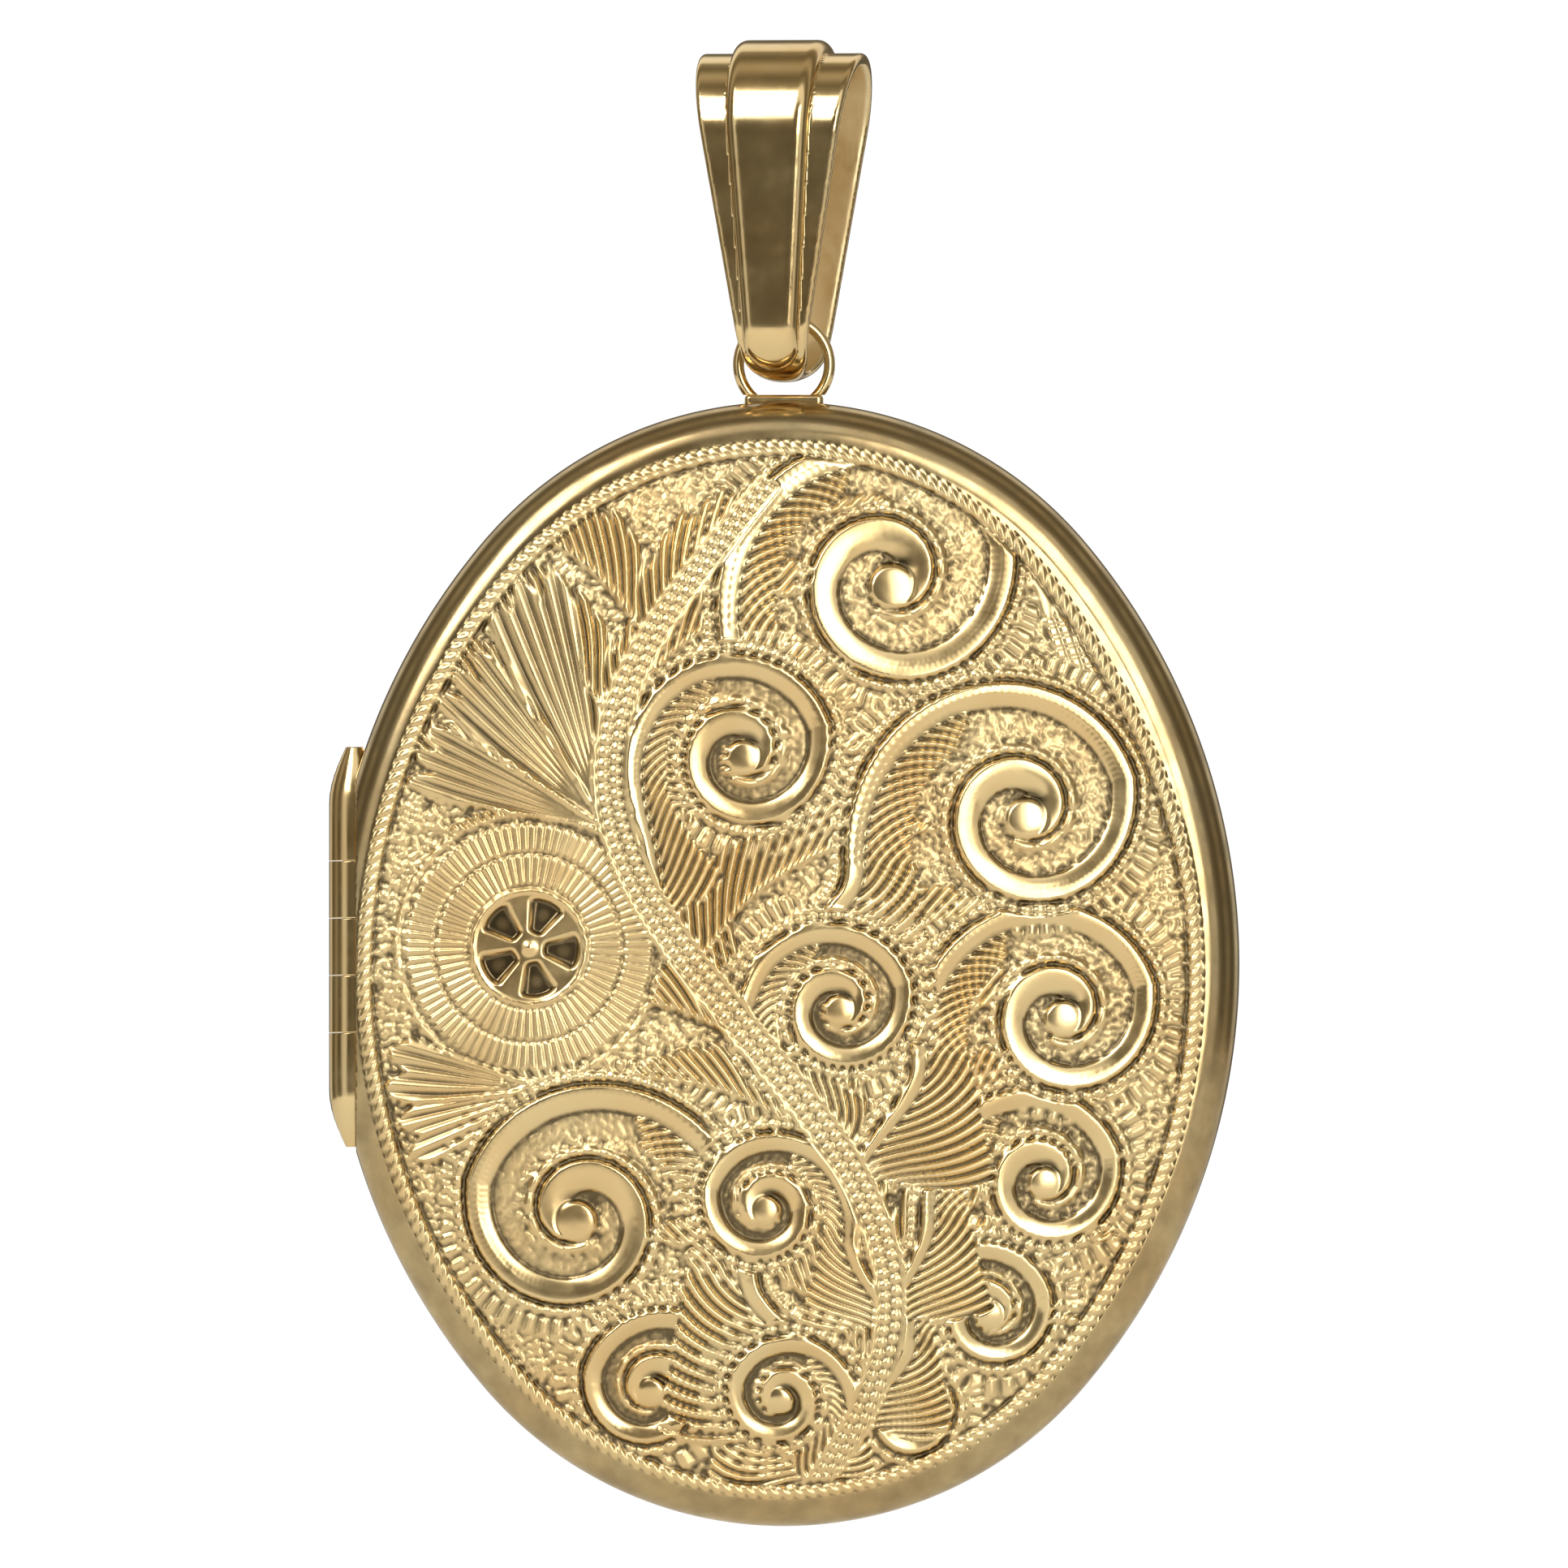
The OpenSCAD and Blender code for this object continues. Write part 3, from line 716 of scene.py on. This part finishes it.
def tongue_field(x, z, w, r, low):
    """Signed distance to the front view of a strip that narrows to a round end."""
    high = BAIL_H - low - r
    taper = math.atan2(w / 2 - r, high)
    x, pz = np.abs(x), z - low - r
    return np.where(pz * math.cos(taper) + x * math.sin(taper) < 0, np.hypot(x, pz) - r,
                    x * math.cos(taper) - pz * math.sin(taper) - r)


def bail_field(x, y, z):
    d = loop_field(y, z)
    strip = round_max(np.abs(d + BAIL_T / 2) - BAIL_T / 2, tongue_field(x, z, BAIL_W, BAIL_END_R, 0),
                      STRIP_ROUND)
    top = np.abs(d + BAIL_T / 2 - (RIB_T + BAIL_T / 2) / 2) - (RIB_T + BAIL_T / 2) / 2
    rib = round_max(top, tongue_field(x, z, RIB_W, RIB_END_R, RIB_LIFT), RIB_ROUND)
    return round_min(strip, rib, 0.03)


# ------------------------------------------------------------------ materials
def new_material(name):
    m = bpy.data.materials.new(name)
    m.use_nodes = True
    nt = m.node_tree
    nt.nodes.clear()
    out = nt.nodes.new("ShaderNodeOutputMaterial")
    shader = nt.nodes.new("ShaderNodeBsdfPrincipled")
    nt.links.new(shader.outputs[0], out.inputs[0])
    return m, nt, shader


def node(nt, kind, **settings):
    n = nt.nodes.new(kind)
    for key, value in settings.items():
        setattr(n, key, value)
    return n


def coords(nt, scale=(1, 1, 1)):
    tc = node(nt, "ShaderNodeTexCoord")
    mp = node(nt, "ShaderNodeMapping")
    mp.inputs["Scale"].default_value = scale
    nt.links.new(tc.outputs["Object"], mp.inputs[0])
    return mp.outputs[0]


def noise_tex(nt, scale, detail=4, stretch=(1, 1, 1), rough=0.55):
    n = node(nt, "ShaderNodeTexNoise")
    n.inputs["Scale"].default_value = scale
    n.inputs["Detail"].default_value = detail
    n.inputs["Roughness"].default_value = rough
    nt.links.new(coords(nt, stretch), n.inputs["Vector"])
    return n.outputs["Fac"]


def remap(nt, value, a, b, c, d):
    n = node(nt, "ShaderNodeMapRange")
    for k, v in zip(("From Min", "From Max", "To Min", "To Max"), (a, b, c, d)):
        n.inputs[k].default_value = v
    nt.links.new(value, n.inputs["Value"])
    return n.outputs["Result"]


def mix_color(nt, factor, a, b):
    n = node(nt, "ShaderNodeMix", data_type="RGBA")
    for socket, value in ((n.inputs[0], factor), (n.inputs[6], a), (n.inputs[7], b)):
        if isinstance(value, (tuple, float)):
            socket.default_value = value if isinstance(value, float) else (*value, 1)
        else:
            nt.links.new(value, socket)
    return n.outputs[2]


def math_node(nt, op, a, b):
    n = node(nt, "ShaderNodeMath", operation=op)
    for socket, value in zip(n.inputs, (a, b)):
        if isinstance(value, (int, float)):
            socket.default_value = value
        else:
            nt.links.new(value, socket)
    return n.outputs[0]


GOLD = (0.77, 0.61, 0.335)
WARM = (0.74, 0.54, 0.27)
# Dark tone for the cuts, also used for the painted dark reflection on the engraved cover's border
CUT_AND_BORDER_DARK = (0.105, 0.08, 0.045)


def gold(name, low, high, scratch=0.15, carved=False, tint=GOLD, worn=WARM):
    """Yellow gold: colour drift and fine scratches; carved gold is darker and duller in the cuts, and its
    polished border is painted dark as a painted reflection.
    """
    m, nt, sh = new_material(name)
    sh.inputs["Metallic"].default_value = 1.0
    drift = remap(nt, noise_tex(nt, 260, 3), 0.35, 0.65, 0, 1)
    color = mix_color(nt, drift, tint, worn)
    smear = noise_tex(nt, 900, 5)
    rough = remap(nt, smear, 0.3, 0.7, low, high)
    if carved:
        darkening = node(nt, "ShaderNodeAttribute", attribute_name="cut_and_border_darkening").outputs["Fac"]
        glo = node(nt, "ShaderNodeAttribute", attribute_name="gloss").outputs["Fac"]
        uneven = math_node(nt, "ADD", darkening, remap(nt, smear, 0.3, 0.7, -0.12, 0.12))
        # Mix towards the dark tone: darker in the cuts, and a painted dark reflection on the border, rim and
        # inside of the cover
        darkening_mix = remap(nt, uneven, 0.0, 0.8, 0.0, 0.93)
        color = mix_color(nt, darkening_mix, color, CUT_AND_BORDER_DARK)
        rough = math_node(nt, "ADD", rough, remap(nt, glo, 0, 1, 0.2, 0.0))
    nt.links.new(color, sh.inputs["Base Color"])
    nt.links.new(rough, sh.inputs["Roughness"])
    lines = math_node(nt, "ADD", noise_tex(nt, 520, 2, (1, 1, 9)), noise_tex(nt, 520, 2, (9, 1, 1.3)))
    dents = math_node(nt, "ADD", math_node(nt, "MULTIPLY", lines, 0.15),
                      math_node(nt, "MULTIPLY", noise_tex(nt, 420, 3), 1.2))
    bump = node(nt, "ShaderNodeBump")
    bump.inputs["Strength"].default_value = scratch
    bump.inputs["Distance"].default_value = 0.00006
    nt.links.new(dents, bump.inputs["Height"])
    nt.links.new(bump.outputs[0], sh.inputs["Normal"])
    return m


ENGRAVED = gold("engraved_gold", 0.14, 0.26, 0.05, carved=True)
POLISHED = gold("polished_gold", 0.1, 0.2, 0.06)
BAIL_GOLD = gold("bail_gold", 0.1, 0.18, 0.06)
BAIL_INSIDE = gold("bail_inside", 0.34, 0.56, 0.6, tint=(0.84, 0.71, 0.46), worn=(0.7, 0.55, 0.31))
SATIN = gold("satin_gold", 0.3, 0.46, 0.5, tint=(0.7, 0.5, 0.23), worn=(0.62, 0.4, 0.17))


def window_material():
    m, nt, sh = new_material("clear_window")
    sh.inputs["Base Color"].default_value = (0.97, 0.98, 0.98, 1)
    sh.inputs["Alpha"].default_value = 0.12
    sh.inputs["IOR"].default_value = 1.45
    nt.links.new(remap(nt, noise_tex(nt, 500, 4), 0.3, 0.7, 0.02, 0.12), sh.inputs["Roughness"])
    return m


def card_material():
    m, nt, sh = new_material("blank_card")
    fibre = noise_tex(nt, 1600, 6)
    stain = remap(nt, noise_tex(nt, 90, 3), 0.4, 0.7, 0, 1)
    nt.links.new(mix_color(nt, stain, (0.83, 0.77, 0.64), (0.72, 0.63, 0.47)), sh.inputs["Base Color"])
    nt.links.new(remap(nt, fibre, 0.3, 0.7, 0.75, 0.92), sh.inputs["Roughness"])
    bump = node(nt, "ShaderNodeBump")
    bump.inputs["Strength"].default_value = 0.4
    bump.inputs["Distance"].default_value = 0.00003
    nt.links.new(fibre, bump.inputs["Height"])
    nt.links.new(bump.outputs[0], sh.inputs["Normal"])
    return m


WINDOW, CARD = window_material(), card_material()


def finish_piece(obj, body, material, slot, *nodes):
    obj.data.materials.clear()
    obj.data.materials.append(material)
    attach(obj, body)
    if nodes:
        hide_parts(*nodes)
    return obj


# ------------------------------------------------------------------ covers
front = cover("front_cover_shell", True, 560, 680)
paint_attributes(front)
shade_smooth(front)
finish_piece(front, "cover", ENGRAVED, "engraved_gold", "front_cover")
back = cover("back_cover_shell", False, 120, 148)
shade_smooth(back, 40)
finish_piece(back, "case", POLISHED, "polished_gold", "back_cover")

# ------------------------------------------------------------------ bail
bail = net_mesh("bail_strip", bail_field, (-3.3, -3.6, -0.3), (3.3, 3.6, 12.6), 0.075)
bail.data.transform(Matrix.Translation((0, 0, (BAIL_T - BAIL_H) * MM)))
bail.data.transform(Matrix.Rotation(math.radians(-BAIL_TURN), 4, "Z"))
finish_piece(bail, "bail", BAIL_GOLD, "bail_gold", "bail")
bail.data.materials.append(BAIL_INSIDE)
centres = np.empty(len(bail.data.polygons) * 3, np.float32)
bail.data.polygons.foreach_get("center", centres)
centres = centres.reshape(-1, 3).astype(float) / MM
turned = math.radians(BAIL_TURN)
depth = loop_field(centres[:, 0] * math.sin(turned) + centres[:, 1] * math.cos(turned),
                   centres[:, 2] + BAIL_H - BAIL_T)
bail.data.polygons.foreach_set("material_index", (depth < -INSIDE_FROM * BAIL_T).astype(np.int32))

# ------------------------------------------------------------------ ring and saddle
RING_HOLE, RING_WIRE, RING_RISE = 1.42, 0.4, 1.34
SADDLE_W, SADDLE_H, SADDLE_D = 2.8, 0.25, 1.3
RING_C = CASE_Z + HALF_H + RING_RISE
SEAT_Z = CASE_Z + HALF_H + SADDLE_H


def ring_field(x, y, z):
    torus = np.hypot(np.hypot(x, z - RING_C) - RING_HOLE - RING_WIRE / 2, y) - RING_WIRE / 2
    return round_max(torus, SEAT_Z - z, 0.03)


def saddle_field(x, y, z):
    """A block whose foot lies on the case outline, over both halves."""
    block = round_max(round_max(np.abs(x) - SADDLE_W / 2, np.abs(y) - SADDLE_D / 2, 0.2), z - SEAT_Z, 0.14)
    d = oval_inside(x, z - CASE_Z)[0]
    return np.maximum(block, d)


ring = net_mesh("hanging_ring", ring_field, (-2.1, -0.4, RING_C - 2.2), (2.1, 0.4, RING_C + 2.2), 0.04)
finish_piece(ring, "case", POLISHED, "polished_gold", "bail_ring")
saddle = net_mesh("ring_seat", saddle_field, (-1.6, -0.8, SEAT_Z - 0.6), (1.6, 0.8, SEAT_Z + 0.15), 0.03)
finish_piece(saddle, "case", POLISHED, "polished_gold", "ring_saddle")


# ------------------------------------------------------------------ carried-over nodes
def refine(node_name, body, material, slot, width, grow=(0.0, 0.0, 0.0)):
    """A copy of a CAD node with its sharp edges bevelled, each side moved out by grow."""
    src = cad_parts[node_name]
    obj = bpy.data.objects.new(node_name + "_fine", src.data.copy())
    bpy.context.scene.collection.objects.link(obj)
    bm = bmesh.new()
    bm.from_mesh(obj.data)
    bmesh.ops.remove_doubles(bm, verts=bm.verts, dist=1e-7)
    bmesh.ops.dissolve_limit(bm, angle_limit=math.radians(0.5), verts=bm.verts, edges=bm.edges)
    for axis, out in enumerate(grow):
        places = [v.co[axis] for v in bm.verts]
        mid, half = (max(places) + min(places)) / 2, (max(places) - min(places)) / 2
        for v in bm.verts:
            v.co[axis] = mid + (v.co[axis] - mid) * (1 + out * MM / half)
    if grow[2]:
        # Loops this far from both ends keep the shading of the long faces true
        loop_in = 0.03 * MM
        for side in (-1, 1):
            bmesh.ops.bisect_plane(bm, geom=bm.verts[:] + bm.edges[:] + bm.faces[:], dist=1e-8,
                                   plane_co=(0, 0, mid + side * (half - loop_in)), plane_no=(0, 0, 1))
    bm.to_mesh(obj.data)
    bm.free()
    bevel = obj.modifiers.new("edge", "BEVEL")
    bevel.width, bevel.segments, bevel.limit_method = width * MM, 2, "ANGLE"
    bevel.angle_limit = math.radians(40)
    apply_modifiers(obj)
    shade_smooth(obj, 35)
    even = obj.modifiers.new("even", "WEIGHTED_NORMAL")
    even.keep_sharp = True
    apply_modifiers(obj)
    return finish_piece(obj, body, material, slot, node_name)


KNUCKLE_EDGE, KNUCKLE_GROW = 0.012, (0, 0, 0.02)
# The cards lie clear of the windows, so that their faces don't coincide
CARD_INSET = (0, -0.03, 0)
for name in ("front_knuckle_upper", "front_knuckle_lower"):
    refine(name, "cover", POLISHED, "polished_gold", KNUCKLE_EDGE, KNUCKLE_GROW)
for name in ("back_knuckle_top", "back_knuckle_middle", "back_knuckle_bottom"):
    refine(name, "case", POLISHED, "polished_gold", KNUCKLE_EDGE, KNUCKLE_GROW)
refine("front_photo_frame", "cover", POLISHED, "polished_gold", 0.04)
refine("back_photo_frame", "case", POLISHED, "polished_gold", 0.04)
refine("closing_lip", "case", SATIN, "satin_gold", 0.03)

for half, body in (("front", "cover"), ("back", "case")):
    refine(half + "_seat", body, SATIN, "satin_gold", 0.02)
    refine(half + "_window", body, WINDOW, "clear_window", 0.02)
    refine(half + "_card", body, CARD, "blank_card", 0.01, CARD_INSET)

for name in ("front_hinge_bearer", "back_hinge_bearer", "catch_bead", "hinge_pin"):
    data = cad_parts[name].data
    data.materials.clear()
    data.materials.append(SATIN)

# ------------------------------------------------------------------ floor, light, camera
FLOOR_DROP, FLOOR_R, FLOOR_TONE = 0.022, 0.29, (0.8, 0.79, 0.77)
floor_z = CAD_BOX[0][2] - FLOOR_DROP
bm = bmesh.new()
bmesh.ops.create_circle(bm, cap_ends=True, segments=96, radius=FLOOR_R)
floor_mesh = bpy.data.meshes.new("floor")
bm.to_mesh(floor_mesh)
bm.free()
floor = bpy.data.objects.new("floor", floor_mesh)
floor.location = (0, 0, floor_z)
bpy.context.scene.collection.objects.link(floor)
pale, nt, sh = new_material("pale_floor")
sh.inputs["Base Color"].default_value = (*FLOOR_TONE, 1)
sh.inputs["Roughness"].default_value = 0.9
floor_mesh.materials.append(pale)

world = bpy.data.worlds.new("studio")
bpy.context.scene.world = world
world.use_nodes = True
nt = world.node_tree
nt.nodes.clear()
out = node(nt, "ShaderNodeOutputWorld")
sky, white = node(nt, "ShaderNodeBackground"), node(nt, "ShaderNodeBackground")
white.inputs[0].default_value = (1, 1, 1, 1)
white.inputs[1].default_value = 1.05
tc = node(nt, "ShaderNodeTexCoord")
xyz = node(nt, "ShaderNodeSeparateXYZ")
nt.links.new(tc.outputs["Generated"], xyz.inputs[0])
facing = math_node(nt, "ABSOLUTE", xyz.outputs["Y"], 0)
ramp = node(nt, "ShaderNodeValToRGB")
ramp.color_ramp.interpolation = "EASE"
stops = ((0.0, (0.34, 0.3, 0.23)), (0.3, (0.13, 0.11, 0.075)), (0.48, (0.2, 0.175, 0.125)),
         (0.6, (0.74, 0.71, 0.65)), (0.78, (0.78, 0.75, 0.69)), (0.86, (0.24, 0.215, 0.16)),
         (0.92, (0.125, 0.108, 0.078)), (1.0, (0.16, 0.142, 0.106)))
el = ramp.color_ramp.elements
el[0].position, el[0].color = stops[0][0], (*stops[0][1], 1)
el[1].position, el[1].color = stops[-1][0], (*stops[-1][1], 1)
for pos, col in stops[1:-1]:
    e = el.new(pos)
    e.color = (*col, 1)
nt.links.new(facing, ramp.inputs[0])
above = remap(nt, xyz.outputs["Z"], -0.7, 0.8, 0.5, 1.45)
nt.links.new(ramp.outputs[0], sky.inputs[0])
nt.links.new(above, sky.inputs[1])
# White to the camera, and the graded ring to everything else
path = node(nt, "ShaderNodeLightPath")
mix = node(nt, "ShaderNodeMixShader")
nt.links.new(path.outputs["Is Camera Ray"], mix.inputs[0])
nt.links.new(sky.outputs[0], mix.inputs[1])
nt.links.new(white.outputs[0], mix.inputs[2])
nt.links.new(mix.outputs[0], out.inputs[0])


def softbox(name, place, power, size, colour, in_gloss=True):
    light = bpy.data.lights.new(name, "AREA")
    light.shape, light.size, light.size_y = "RECTANGLE", size[0], size[1]
    light.energy, light.color = power, colour
    obj = bpy.data.objects.new(name, light)
    obj.location = place
    obj.visible_glossy = in_gloss
    target = Vector((0, 0, CASE_Z * MM))
    obj.rotation_euler = (target - Vector(place)).to_track_quat("-Z", "Y").to_euler()
    bpy.context.scene.collection.objects.link(obj)


softbox("key", (-0.25, -0.34, 0.26), 1.1, (0.22, 0.3), (1.0, 0.97, 0.9))
softbox("fill", (0.2, -0.62, 0.1), 1.5, (0.26, 0.4), (1.0, 0.97, 0.88))
softbox("overhead", (0.0, 0.05, 0.5), 1.3, (0.5, 0.5), (1.0, 1.0, 1.0), in_gloss=False)

cam_data = bpy.data.cameras.new("camera")
cam = bpy.data.objects.new("camera", cam_data)
VIEW_MM, VIEW_Z, DISTANCE, SENSOR = 55.83, -25.56, 1.2, 36
cam_data.sensor_width = SENSOR
cam_data.lens = SENSOR * DISTANCE / (VIEW_MM * MM)
cam.location = (0, -DISTANCE, VIEW_Z * MM)
cam.rotation_euler = (math.pi / 2, 0, 0)
bpy.context.scene.collection.objects.link(cam)
bpy.context.scene.camera = cam
bpy.context.scene.view_settings.view_transform = "Standard"
